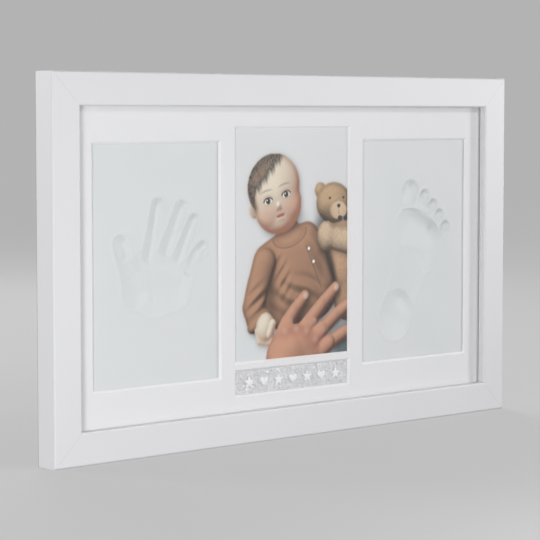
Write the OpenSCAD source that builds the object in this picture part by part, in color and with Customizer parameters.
// Wall or shelf frame for a baby's handprint and footprint in clay, with a 10 x 15 cm photo between
// them and a narrow strip of charms below the photo. The frame stands upright on its bottom rail.
// X runs to the right, Y to the back and Z up. The origin is the middle of the bottom face.

/* [Moulding] */
// Depth of the moulding, front to back
frame_d = 16.5; // [16:0.5:26]
// Width of the moulding's face
rail_w = 20; // [19:0.5:26]
// Depth of the lip in front of the glazing
lip_d = 5; // [3:0.5:5.5]
// Width of the rebate behind the lip
rebate_w = 6; // [4:0.5:6]
// Rounding of the front edges
edge_r = 1.2; // [0.4:0.1:2]

/* [Glazing and mat] */
// Thickness of the clear acrylic sheet
glazing_t = 1.2; // [1:0.1:1.6]
// Thickness of the mat board
mat_t = 1.4; // [1:0.1:1.8]
// Gap all round between the pack and the rebate
pack_gap = 0.6; // [0.3:0.1:1.5]
// Width of each of the three windows
window_w = 98; // [85:1:100]
// Height of each of the three windows
window_h = 147; // [120:1:148]
// Mat showing between two windows
window_gap = 14; // [10:1:20]
// Mat showing between the lip and the outer windows
mat_side = 14; // [11:1:24]
// Mat showing between the lip and the top of the photo window
mat_top = 14; // [11:1:24]
// Mat showing between the small window and the lip
mat_bottom = 10; // [9:1:20]
// Height of the small window below the photo
strip_h = 15; // [12:0.5:17]
// Mat between the photo window and the small window
strip_gap = 6; // [5.5:0.5:9]

/* [Clay tablets] */
// Thickness of each clay tablet
clay_t = 4.8; // [3.5:0.1:5.4]
// Clay hidden behind the mat on each side of its window
clay_overlap = 3; // [1.5:0.5:5]
// Air between the clay and the back of the mat
clay_air = 0.3; // [0.1:0.1:0.8]
// Depth of the pressed prints
print_depth = 2.2; // [1:0.1:2.8]
// Length of the handprint
hand_l = 73; // [50:1:80]
// Length of the footprint
foot_l = 108; // [70:1:114]

/* [Photo and charms] */
// Thickness of the photo and of the strip card
card_t = 0.4; // [0.2:0.1:0.6]
// Card hidden behind the mat on each side of its window
card_overlap = 2.2; // [1:0.1:2.6]
// Thickness of the charms on the strip
charm_t = 0.9; // [0.4:0.1:1.2]
// Size of one charm
charm_s = 8.5; // [5:0.5:10]
// Distance between charms
charm_pitch = 12.6; // [11:0.2:13]
// Number of charms
charm_count = 7; // [3:1:7]

/* [Backing] */
// Thickness of the fibreboard back
board_t = 2.6; // [2:0.1:3.2]
// Depth of the board below the back of the moulding
board_sunk = 0.2; // [0.1:0.1:0.5]
// Width of the foam spacer strips
spacer_w = 10; // [8:0.5:11]
// Height of each strip of double-sided tape behind the clay
tape_h = 18; // [10:1:24]

/* [Turn buttons] */
// Length of a turn button
button_l = 26; // [22:1:32]
// Width of a turn button
button_w = 9; // [8:0.5:10]
// Thickness of a turn button
button_t = 1; // [0.8:0.1:1.5]
// Air below a turn button
button_air = 0.2; // [0.1:0.1:0.5]
// Distance of the upper and lower buttons from the frame's sides
button_inset = 85; // [60:1:120]
// Radius of a turn button's screw
button_screw_r = 1.5; // [1.2:0.1:1.8]
// Length of a turn button's screw in the moulding
button_screw_l = 9; // [6:0.5:11]

/* [Easel] */
// Distance of the hinge pin from the top of the frame
hinge_drop = 74; // [50:1:90]
// Width of the hinge
hinge_w = 30; // [24:1:34]
// Thickness of the hinge leaves
leaf_t = 0.8; // [0.6:0.1:1]
// Height of each hinge leaf
leaf_h = 22; // [18:1:28]
// Radius of the hinge pin
pin_r = 0.9; // [0.7:0.1:1]
// Wall of the hinge barrel
barrel_wall = 0.8; // [0.6:0.1:1]
// Thickness of the strut
strut_t = 3; // [2.5:0.1:3.2]
// Width of the strut at the hinge
strut_top_w = 38; // [36:1:50]
// Width of the strut at its foot
strut_foot_w = 66; // [50:1:90]
// Height of the strut's foot above the base when folded
strut_foot_z = 3; // [2:1:30]
// Angle at which the hinge's stop holds the strut open
open_angle = 28; // [20:1:40]
// Height of the hinge's stop above its pin
stop_h = 4; // [3:0.5:6]

/* [Wall hanging] */
// Distance of the keyhole's round entry from the top of the frame
keyhole_drop = 46; // [42:1:70]
// Radius of the keyhole's round entry
keyhole_r = 4; // [3.5:0.1:4.2]
// Width of the keyhole's slot
keyhole_slot_w = 4.4; // [4.2:0.1:5]
// Rise from the entry to the end of the slot
keyhole_rise = 8; // [6:0.5:10]
// Width of a keyhole plate
plate_w = 11; // [10:0.5:12]
// Length of a keyhole plate
plate_l = 38; // [36:1:44]
// Thickness of a keyhole plate
plate_t = 1.2; // [0.8:0.1:1.5]
// Depth of the pocket behind a keyhole plate
pocket_d = 6; // [5:0.5:8]
// Radius of a wall bumper
bumper_r = 5; // [4:0.5:5.5]
// Distance of the wall bumpers from the frame's sides
bumper_inset = 32; // [25:1:50]
// Gap that the bumpers keep between the hinge and the wall
wall_air = 0.8; // [0.4:0.1:3]

/* [Hidden] */
$fn = 48;

white_paint = [0.93, 0.93, 0.92];
clay_white = [0.86, 0.87, 0.87];
fibreboard = [0.66, 0.52, 0.38];
steel = [0.72, 0.73, 0.74];

cut = 1;                                   // how far a cutter runs past what it cuts
inner_w = 3 * window_w + 2 * window_gap + 2 * mat_side;    // sight size inside the lip
inner_h = mat_top + window_h + strip_gap + strip_h + mat_bottom;
frame_w = inner_w + 2 * rail_w;
frame_h = inner_h + 2 * rail_w;
front_y = -frame_d / 2;
back_y = frame_d / 2;
rail_back_w = rail_w - rebate_w;           // moulding left beside the rebate
rail_mid = rail_back_w / 2;                // line of screws and plates on the back

pack_w = inner_w + 2 * (rebate_w - pack_gap);
pack_h = inner_h + 2 * (rebate_w - pack_gap);
mid_z = frame_h / 2;
glazing_y = front_y + lip_d;
mat_y = glazing_y + glazing_t;
behind_mat_y = mat_y + mat_t;
board_back_y = back_y - board_sunk;
board_y = board_back_y - board_t;
pack_space = board_y - behind_mat_y;       // room between the mat and the board

window_pitch = window_w + window_gap;
strip_z = rail_w + mat_bottom + strip_h / 2;
photo_z = strip_z + strip_h / 2 + strip_gap + window_h / 2;

clay_y = behind_mat_y + clay_air;
tablet_w = window_w + 2 * clay_overlap;
tablet_h = window_h + 2 * clay_overlap;
tape_t = board_y - clay_y - clay_t;
tape_count = 3;
card_w = window_w + 2 * card_overlap;

// A print is a list of pads: start x and z, end x and z, start and end radius, share of the depth.
// Both are drawn about the middle of their window, for a hand and a foot of these lengths.
drawn_hand_l = 73;
drawn_foot_l = 108;
hand_pads = [
    [-5, -10, 9, -9, 19.5, 18, 0.62], [-2, -16, 8, -14, 15.5, 15, 0.66],
    [-15, -15, -17, -6, 11.5, 10, 0.85], [14, -18, 18, -7, 10.5, 9.5, 0.8],
    [-4, 1, 20, -2, 8.5, 7.5, 0.8],
    [-20, -6, -24, 4, 7, 6.4, 0.8], [-25, 6, -27.5, 13, 6.2, 6, 1],
    [-6, 5, -3, 17, 5.5, 5.2, 0.8], [-1.9, 21, 1, 35.5, 5.2, 5, 1],
    [7, 7, 12.2, 18, 5.5, 5.2, 0.8], [14, 21.5, 19.5, 33.5, 5.2, 5, 1],
    [17, 2, 22.3, 12, 5.1, 4.8, 0.8], [24, 15, 29.5, 25.5, 4.9, 4.6, 1],
    [24, -5, 28.6, 1, 4.8, 4.4, 0.8], [30.8, 3.4, 36, 8.8, 4.5, 4.2, 0.95]
];
foot_pads = [
    [-18, -46, -14.5, -39, 14.5, 14, 1], [-12, -34, -1, -8, 12.5, 14.5, 0.74],
    [8, -8, 12, 4, 9.5, 12, 0.74], [-3.5, 14, 12.5, 6.5, 13.5, 12.5, 0.95],
    [-4.5, 37.5, -3, 40, 7.6, 7, 1], [9.6, 33.6, 10.6, 35.6, 5, 4.7, 0.9],
    [17.6, 27.6, 18.8, 29.2, 4.7, 4.4, 0.88], [24, 21, 25.4, 22.4, 4.4, 4.2, 0.86],
    [29.8, 13.2, 31.2, 14.4, 4.2, 4, 0.84]
];
pad_blend = 6;                             // the higher, the sharper the line where pads meet
print_step = 2.4;                          // spacing of the height points over a print
print_margin = 3;                          // flat clay kept around a print's own box

screw_head_r = 3.2;
screw_head_h = 1.6;
screw_air = 0.1;                           // play of a turn button on its screw
button_y = back_y + button_air;
button_end = button_w / 2;                 // pivot to the button's near end
button_side_z = mid_z;
button_x = frame_w / 2 - button_inset;

hinge_z = frame_h - hinge_drop;
barrel_r = pin_r + barrel_wall;
hinge_y = board_back_y + barrel_r;
strut_back_y = hinge_y + barrel_r;
strut_y = strut_back_y - strut_t;
strut_top_z = hinge_z - barrel_r - 1.3;
knuckle_w = hinge_w / 3;
knuckle_air = 0.2;
pin_air = 0.06;
rivet_r = 1.2;
rivet_head_r = 2.4;
rivet_head_h = 0.9;
rivet_x = hinge_w * 0.3;
rivet_rise = leaf_h * 0.62;
stop_w = knuckle_w - 3;
stop_air = 0.1;
stop_foot = pin_r + 0.3;                   // pin's middle to the lower edge of the stop

keyhole_z = frame_h - keyhole_drop;
plate_air = 0.15;
plate_mid_z = keyhole_z + keyhole_rise / 2 - 1;
plate_screw_rise = plate_l / 2 - 4.5;
plate_screw_r = 1.3;
plate_screw_head_r = 2.3;
plate_screw_l = 9;
pocket_r = keyhole_r + 0.4;
bumper_x = frame_w / 2 - bumper_inset;
stop_back = hinge_y + (stop_foot + stop_h) * sin(open_angle);
bumper_h = max(stop_back, strut_back_y + rivet_head_h) + wall_air - back_y;

nail_at = [3.6, 8.6];                      // corner of the moulding to each nail's bend
nail_leg = 4.6;
nail_t = 0.6;
nail_h = 8;
nail_sunk = 0.15;

// ---- moulding -------------------------------------------------------------------------------

// Waste left outside a rounded corner; the corner is at the origin and the material lies in +x, +y
module corner_waste(r) {
    difference() {
        translate([-cut, -cut]) square(r + cut);
        translate([r, r]) circle(r);
    }
}

// Section of the moulding: x runs inwards from the outer edge, y from front to back
module rail_section() {
    difference() {
        square([rail_w, frame_d]);
        translate([rail_back_w, lip_d]) square([rebate_w + cut, frame_d]);
        corner_waste(edge_r);
        translate([rail_w, 0]) mirror([1, 0]) corner_waste(edge_r);
    }
}

// One mitred rail along X, with its outer edge on z = 0
module rail(length) {
    intersection() {
        translate([-length / 2, front_y, 0])
            rotate([90, 0, 90]) linear_extrude(length)
                mirror([1, -1]) rail_section();
        translate([0, back_y + cut, 0]) rotate([90, 0, 0]) linear_extrude(frame_d + 2 * cut)
            polygon([
                [-length / 2, 0], [length / 2, 0],
                [length / 2 - rail_w, rail_w], [-length / 2 + rail_w, rail_w]
            ]);
    }
}

// Puts a rail's own drawing on one side of the frame
module on_bottom() { children(); }
module on_top() { translate([0, 0, frame_h]) rotate([0, 180, 0]) children(); }
module on_left() { translate([-frame_w / 2, 0, mid_z]) rotate([0, 90, 0]) children(); }
module on_right() { translate([frame_w / 2, 0, mid_z]) rotate([0, -90, 0]) children(); }

module v_nail(at) {
    for (leg = [[nail_leg, nail_t], [nail_t, nail_leg]])
        translate([at, back_y - nail_sunk - nail_h, at]) cube([leg[0], nail_h, leg[1]]);
}

module corner_v_nails() {
    color(steel)
        for (x = [0, 1], z = [0, 1])
            translate([x == 0 ? -frame_w / 2 : frame_w / 2, 0, z == 0 ? 0 : frame_h])
                mirror([x, 0, 0]) mirror([0, 0, z])
                    for (at = nail_at) v_nail(at);
}

// Open slots above the nails, through to the back
module nail_slots() {
    corner_v_nails();
    translate([0, nail_sunk + cut, 0]) corner_v_nails();
}

module pilot_holes() {
    for (p = button_pivots)
        translate([p[0], back_y - button_screw_l, p[1]])
            rotate([-90, 0, 0]) cylinder(r = button_screw_r, h = button_screw_l + cut);
}

module top_rail() {
    color(white_paint) difference() {
        on_top() rail(frame_w);
        nail_slots();
        pilot_holes();
    }
}

module bottom_rail() {
    color(white_paint) difference() {
        on_bottom() rail(frame_w);
        nail_slots();
        pilot_holes();
    }
}

module left_rail() {
    color(white_paint) difference() {
        on_left() rail(frame_h);
        nail_slots();
        pilot_holes();
        keyhole_recess(-1);
    }
}

module right_rail() {
    color(white_paint) difference() {
        on_right() rail(frame_h);
        nail_slots();
        pilot_holes();
        keyhole_recess(1);
    }
}

// ---- glazing, mat and what they show --------------------------------------------------------

// A block centred on x and z, with its front at y
module slab(x, y, z, w, t, h) {
    translate([x - w / 2, y, z - h / 2]) cube([w, t, h]);
}

module glazing_sheet() {
    color([0.85, 0.92, 0.95, 0.3]) slab(0, glazing_y, mid_z, pack_w, glazing_t, pack_h);
}

// Window with a 45 degree bevel, wide at the front of the mat
module bevelled_window(x, z, w, h) {
    ends = [[behind_mat_y + cut, -cut], [mat_y - cut, mat_t + cut]];
    points = [for (e = ends, s = [[-1, -1], [1, -1], [1, 1], [-1, 1]])
        [x + s[0] * (w / 2 + e[1]), e[0], z + s[1] * (h / 2 + e[1])]];
    polyhedron(points, [
        [0, 1, 2, 3], [7, 6, 5, 4], [4, 5, 1, 0], [5, 6, 2, 1], [6, 7, 3, 2], [7, 4, 0, 3]
    ]);
}

module mat_board() {
    color([0.94, 0.94, 0.93]) difference() {
        slab(0, mat_y, mid_z, pack_w, mat_t, pack_h);
        for (side = [-1, 1]) bevelled_window(side * window_pitch, mid_z, window_w, window_h);
        bevelled_window(0, photo_z, window_w, window_h);
        bevelled_window(0, strip_z, window_w, strip_h);
    }
}

// Distance from p to the line from a pad's start to its end, over the pad's radius there
function pad_reach(pad, p) =
    let (a = [pad[0], pad[1]], ab = [pad[2], pad[3]] - a,
         t = max(0, min(1, ((p - a) * ab) / (ab * ab))))
    norm(p - a - t * ab) / (pad[4] + t * (pad[5] - pad[4]));

// A pad is flat at its bottom and steep at its rim
function pad_depth(pad, p) = let (r = pad_reach(pad, p)) r >= 1 ? 0 : pad[6] * (1 - pow(r, 3));

function press_depth(pads, p) =
    let (depths = [for (pad = pads) pow(pad_depth(pad, p), pad_blend)], ones = [for (pad = pads) 1])
    print_depth * min(1, pow(depths * ones, 1 / pad_blend));

// Grid lines across a tablet: its edge, then close lines over the print, then its other edge
function grid_lines(low, high, size) =
    let (count = ceil((high - low) / print_step))
    concat([-size / 2], [for (i = [0:count]) low + (high - low) * i / count], [size / 2]);

// Clay tablet with a print pressed in its front. The pads are drawn for a print of length 1 / scale.
module tablet(x, pads, scale) {
    reach = [for (p = pads) max(p[4], p[5])];
    low_x = min([for (i = [0:len(pads) - 1]) min(pads[i][0], pads[i][2]) - reach[i]]);
    high_x = max([for (i = [0:len(pads) - 1]) max(pads[i][0], pads[i][2]) + reach[i]]);
    low_z = min([for (i = [0:len(pads) - 1]) min(pads[i][1], pads[i][3]) - reach[i]]);
    high_z = max([for (i = [0:len(pads) - 1]) max(pads[i][1], pads[i][3]) + reach[i]]);
    xs = grid_lines(low_x * scale - print_margin, high_x * scale + print_margin, tablet_w);
    zs = grid_lines(low_z * scale - print_margin, high_z * scale + print_margin, tablet_h);
    nx = len(xs);
    nz = len(zs);
    n = nx * nz;
    front = [for (zi = zs, xi = xs) [xi, press_depth(pads, [xi, zi] / scale), zi]];
    back = [for (s = [[-1, -1], [1, -1], [1, 1], [-1, 1]])
        [s[0] * tablet_w / 2, clay_t, s[1] * tablet_h / 2]];
    front_faces = [for (j = [0:nz - 2], i = [0:nx - 2]) let (a = j * nx + i)
        each [[a, a + nx, a + nx + 1], [a, a + nx + 1, a + 1]]];
    rims = [
        [for (i = [0:nx - 1]) i], [for (j = [0:nz - 1]) j * nx + nx - 1],
        [for (i = [nx - 1:-1:0]) (nz - 1) * nx + i], [for (j = [nz - 1:-1:0]) j * nx]
    ];
    side_faces = [for (k = [0:3]) let (rim = rims[k], last = len(rim) - 1)
        each concat(
            [for (i = [0:last - 1]) [rim[i], rim[i + 1], n + k]],
            [[rim[last], n + (k + 1) % 4, n + k]])];
    back_faces = [[n, n + 1, n + 2], [n, n + 2, n + 3]];
    translate([x, clay_y, mid_z])
        polyhedron(concat(front, back), concat(front_faces, side_faces, back_faces));
}

module hand_clay_tablet() {
    color(clay_white) tablet(-window_pitch, hand_pads, hand_l / drawn_hand_l);
}

module foot_clay_tablet() {
    color(clay_white) tablet(window_pitch, foot_pads, foot_l / drawn_foot_l);
}

// Strips of double-sided foam tape that hold the tablets to the board
module clay_tape() {
    color([0.9, 0.9, 0.88])
        for (side = [-1, 1], i = [0:tape_count - 1])
            slab(side * window_pitch, clay_y + clay_t,
                 mid_z + (i - (tape_count - 1) / 2) * tablet_h * 0.36,
                 tablet_w * 0.8, tape_t, tape_h);
}

module photo_print() {
    color([0.8, 0.72, 0.66])
        slab(0, behind_mat_y, photo_z, card_w, card_t, window_h + 2 * card_overlap);
}

module name_strip() {
    color([0.72, 0.73, 0.74])
        slab(0, behind_mat_y, strip_z, card_w, card_t, strip_h + 2 * card_overlap);
}

// Five-pointed star in x and y
module star(s) {
    polygon([for (i = [0:9]) let (r = i % 2 == 0 ? s / 2 : s * 0.22)
        [r * sin(i * 36), r * cos(i * 36)]]);
}

// Heart in x and y, of two rounds on a square that stands on its corner
module heart(s) {
    side = s * 0.5;
    translate([0, -s * 0.44]) rotate(45) {
        square(side);
        translate([side / 2, side]) circle(side / 2);
        translate([side, side / 2]) circle(side / 2);
    }
}

module name_strip_charms() {
    color(white_paint)
        for (i = [0:charm_count - 1])
            translate([(i - (charm_count - 1) / 2) * charm_pitch, behind_mat_y, strip_z])
                rotate([90, 0, 0]) linear_extrude(charm_t)
                    if (i % 2 == 0) star(charm_s); else heart(charm_s * 0.9);
}

// Foam behind the photo and the strip, which holds both against the mat
module foam_pad() {
    top = photo_z + window_h / 2 + card_overlap;
    bottom = strip_z - strip_h / 2 - card_overlap;
    color([0.93, 0.93, 0.9])
        slab(0, behind_mat_y + card_t, (top + bottom) / 2, card_w, pack_space - card_t, top - bottom);
}

module spacer_across(z) {
    color([0.95, 0.95, 0.93]) slab(0, behind_mat_y, z, pack_w, pack_space, spacer_w);
}

module spacer_upright(x) {
    color([0.95, 0.95, 0.93])
        slab(x, behind_mat_y, mid_z, spacer_w, pack_space, pack_h - 2 * spacer_w);
}

module spacer_top() { spacer_across(mid_z + (pack_h - spacer_w) / 2); }
module spacer_bottom() { spacer_across(mid_z - (pack_h - spacer_w) / 2); }
module spacer_left() { spacer_upright(-(pack_w - spacer_w) / 2); }
module spacer_right() { spacer_upright((pack_w - spacer_w) / 2); }

module backboard() {
    color(fibreboard) difference() {
        slab(0, board_y, mid_z, pack_w, board_t, pack_h);
        rivet_pair(board_y - cut, board_t + 2 * cut, hinge_z + rivet_rise);
    }
}

// ---- turn buttons ---------------------------------------------------------------------------

// Pivot x and z of each button, and the turn that points it over the board
button_pivots = [
    [-button_x, frame_h - rail_mid, 180], [button_x, frame_h - rail_mid, 180],
    [-button_x, rail_mid, 0], [button_x, rail_mid, 0],
    [-frame_w / 2 + rail_mid, button_side_z, 90], [frame_w / 2 - rail_mid, button_side_z, -90]
];

// Button number i: an oval plate with a finger rib, which turns on its screw
module turn_button(i) {
    reach = button_l - 2 * button_end;
    p = button_pivots[i];
    color(steel) translate([p[0], button_y, p[1]]) rotate([0, p[2], 0]) {
        rotate([-90, 0, 0]) difference() {
            linear_extrude(button_t) {
                circle(button_end);
                translate([-button_end, -reach]) square([button_w, reach]);
                translate([0, -reach]) circle(button_end);
            }
            translate([0, 0, -cut]) cylinder(r = button_screw_r + screw_air, h = button_t + 2 * cut);
        }
        translate([-button_w * 0.3, button_t, reach - 0.7]) cube([button_w * 0.6, 0.7, 1.4]);
    }
}

module turn_button_top_left() { turn_button(0); }
module turn_button_top_right() { turn_button(1); }
module turn_button_bottom_left() { turn_button(2); }
module turn_button_bottom_right() { turn_button(3); }
module turn_button_left() { turn_button(4); }
module turn_button_right() { turn_button(5); }

// Round-head screw along Y, with its head's underside at y = 0 and a cross in its head
module round_screw(shank_r, shank_l, head_r, head_h) {
    rotate([-90, 0, 0]) {
        translate([0, 0, -shank_l]) cylinder(r = shank_r, h = shank_l);
        difference() {
            intersection() {
                cylinder(r = head_r, h = head_h);
                translate([0, 0, head_h - head_r * 1.6]) sphere(head_r * 1.6);
            }
            for (turn = [0, 90]) rotate(turn)
                translate([-head_r * 0.55, -head_r * 0.11, head_h * 0.5])
                    cube([head_r * 1.1, head_r * 0.22, head_h]);
        }
    }
}

module turn_button_screws() {
    under_head = button_y + button_t + screw_air;
    color([0.78, 0.78, 0.78])
        for (p = button_pivots) translate([p[0], under_head, p[1]])
            round_screw(button_screw_r, under_head - back_y + button_screw_l, screw_head_r, screw_head_h);
}

// ---- easel ----------------------------------------------------------------------------------

module rivet_pair(y, l, z) {
    for (side = [-1, 1])
        translate([side * rivet_x, y, z]) rotate([-90, 0, 0]) cylinder(r = rivet_r, h = l);
}

// Two rivets through y to y + l, with round heads behind
module rivets(y, l, z) {
    rivet_pair(y, l, z);
    for (side = [-1, 1])
        translate([side * rivet_x, y + l, z]) rotate([-90, 0, 0]) intersection() {
            cylinder(r = rivet_head_r, h = rivet_head_h);
            translate([0, 0, rivet_head_h - rivet_head_r * 1.5]) sphere(rivet_head_r * 1.5);
        }
}

module hinge_board_rivets() {
    color(steel) rivets(board_y, board_t + leaf_t, hinge_z + rivet_rise);
}

module hinge_strut_rivets() {
    color(steel) rivets(strut_y, strut_t, hinge_z - rivet_rise);
}

// Part of the hinge barrel from x_from to x_to
module knuckle(x_from, x_to) {
    translate([x_from, hinge_y, hinge_z]) rotate([0, 90, 0]) cylinder(r = barrel_r, h = x_to - x_from);
}

module pin_bore(r) {
    translate([-hinge_w, hinge_y, hinge_z]) rotate([0, 90, 0]) cylinder(r = r, h = 2 * hinge_w);
}

// Leaf on the board, with the two outer knuckles
module hinge_fixed_leaf() {
    color(steel) difference() {
        union() {
            translate([-hinge_w / 2, board_back_y, hinge_z]) cube([hinge_w, leaf_t, leaf_h]);
            for (side = [-1, 1])
                knuckle(side > 0 ? knuckle_w / 2 : -hinge_w / 2, side > 0 ? hinge_w / 2 : -knuckle_w / 2);
        }
        pin_bore(pin_r);
        translate([-knuckle_w / 2, board_back_y - cut, hinge_z - cut])
            cube([knuckle_w, leaf_t + 2 * cut, cut + barrel_r + 0.5]);
        rivet_pair(board_back_y - cut, leaf_t + 2 * cut, hinge_z + rivet_rise);
    }
}

// Leaf let into the strut, with the middle knuckle and the tab that stops the strut when open
module hinge_moving_leaf() {
    leaf_top = hinge_z - barrel_r - 0.5;
    middle = knuckle_w / 2 - knuckle_air;
    color(steel) difference() {
        union() {
            translate([-hinge_w / 2, strut_back_y - leaf_t, hinge_z - leaf_h])
                cube([hinge_w, leaf_t, leaf_top - hinge_z + leaf_h]);
            translate([-middle, strut_back_y - leaf_t, hinge_z - leaf_h])
                cube([2 * middle, leaf_t, leaf_h]);
            knuckle(-middle, middle);
            translate([0, hinge_y, hinge_z]) rotate([-open_angle, 0, 0])
                translate([-stop_w / 2, board_back_y + leaf_t + stop_air - hinge_y, stop_foot])
                    cube([stop_w, leaf_t, stop_h]);
        }
        pin_bore(pin_r + pin_air);
        rivet_pair(strut_back_y - leaf_t - cut, leaf_t + 2 * cut, hinge_z - rivet_rise);
    }
}

module hinge_pin() {
    color(steel) translate([-hinge_w / 2, hinge_y, hinge_z]) rotate([0, 90, 0])
        cylinder(r = pin_r, h = hinge_w);
}

// Outline of the strut in x and z, with its two lower corners rounded
module strut_outline() {
    foot_r = 8;
    arc_steps = 6;
    foot_x = strut_foot_w / 2 - foot_r;
    lower = [for (i = [0:arc_steps]) let (a = -90 + 80 * i / arc_steps)
        [foot_x + foot_r * cos(a), strut_foot_z + foot_r + foot_r * sin(a)]];
    right = concat(lower, [[strut_top_w / 2, strut_top_z]]);
    left = [for (i = [len(right) - 1:-1:0]) [-right[i][0], right[i][1]]];
    polygon(concat(right, left));
}

module easel_strut() {
    color(fibreboard) difference() {
        translate([0, strut_back_y, 0]) rotate([90, 0, 0]) linear_extrude(strut_t) strut_outline();
        translate([-hinge_w / 2, strut_back_y - leaf_t, hinge_z - leaf_h])
            cube([hinge_w, leaf_t + cut, leaf_h]);
        rivet_pair(strut_y - cut, strut_t + 2 * cut, hinge_z - rivet_rise);
    }
}

// ---- wall hanging ---------------------------------------------------------------------------

// Side is -1 for the left rail and 1 for the right one
function plate_x(side) = side * (frame_w / 2 - rail_mid);

// Upright oval in x and y, from the origin up by rise
module upright_slot(r, rise) {
    circle(r);
    translate([-r, 0]) square([2 * r, rise]);
    translate([0, rise]) circle(r);
}

// Turns a drawing in x and y so that it stands in x and z, and grows towards the back
module facing_back(x, y, z) {
    translate([x, y, z]) mirror([0, 1, 0]) rotate([90, 0, 0]) children();
}

module plate_screw_holes(side, y, r, h) {
    for (end = [-1, 1])
        translate([plate_x(side), y, plate_mid_z + end * plate_screw_rise])
            rotate([-90, 0, 0]) cylinder(r = r, h = h);
}

// What the moulding loses to a keyhole plate: its seat, the pocket behind it and two pilot holes
module keyhole_recess(side) {
    translate([plate_x(side) - plate_w / 2 - plate_air, back_y - plate_t,
               plate_mid_z - plate_l / 2 - plate_air])
        cube([plate_w + 2 * plate_air, plate_t + cut, plate_l + 2 * plate_air]);
    facing_back(plate_x(side), back_y - plate_t - pocket_d, keyhole_z)
        linear_extrude(pocket_d + cut) upright_slot(pocket_r, keyhole_rise);
    plate_screw_holes(side, back_y - plate_screw_l, plate_screw_r, plate_screw_l);
}

module keyhole_plate(side) {
    color(steel) difference() {
        translate([plate_x(side) - plate_w / 2, back_y - plate_t, plate_mid_z - plate_l / 2])
            cube([plate_w, plate_t, plate_l]);
        facing_back(plate_x(side), back_y - plate_t - cut, keyhole_z)
            linear_extrude(plate_t + 2 * cut) {
                circle(keyhole_r);
                upright_slot(keyhole_slot_w / 2, keyhole_rise);
            }
        for (end = [-1, 1])
            translate([plate_x(side), back_y - plate_t, plate_mid_z + end * plate_screw_rise])
                rotate([-90, 0, 0]) cylinder(r1 = plate_screw_r, r2 = plate_screw_head_r, h = plate_t);
    }
}

module keyhole_plate_left() { keyhole_plate(-1); }
module keyhole_plate_right() { keyhole_plate(1); }

// Countersunk screws that hold the keyhole plates
module keyhole_screws() {
    color([0.78, 0.78, 0.78])
        for (side = [-1, 1], end = [-1, 1])
            translate([plate_x(side), back_y, plate_mid_z + end * plate_screw_rise])
                rotate([-90, 0, 0]) difference() {
                    union() {
                        translate([0, 0, -plate_t])
                            cylinder(r1 = plate_screw_r, r2 = plate_screw_head_r, h = plate_t);
                        translate([0, 0, -plate_screw_l])
                            cylinder(r = plate_screw_r, h = plate_screw_l - plate_t);
                    }
                    for (turn = [0, 90]) rotate(turn)
                        translate([-1.3, -0.25, -0.7]) cube([2.6, 0.5, cut + 0.7]);
                }
}

module wall_bumpers() {
    color([0.82, 0.83, 0.84])
        for (side = [-1, 1], z = [rail_mid, frame_h - rail_mid])
            translate([side * bumper_x, back_y, z])
                rotate([-90, 0, 0]) cylinder(r1 = bumper_r, r2 = bumper_r * 0.82, h = bumper_h);
}

top_rail();
bottom_rail();
left_rail();
right_rail();
corner_v_nails();
glazing_sheet();
mat_board();
hand_clay_tablet();
foot_clay_tablet();
clay_tape();
photo_print();
name_strip();
name_strip_charms();
foam_pad();
spacer_top();
spacer_bottom();
spacer_left();
spacer_right();
backboard();
turn_button_top_left();
turn_button_top_right();
turn_button_bottom_left();
turn_button_bottom_right();
turn_button_left();
turn_button_right();
turn_button_screws();
easel_strut();
hinge_fixed_leaf();
hinge_moving_leaf();
hinge_pin();
hinge_board_rivets();
hinge_strut_rivets();
keyhole_plate_left();
keyhole_plate_right();
keyhole_screws();
wall_bumpers();
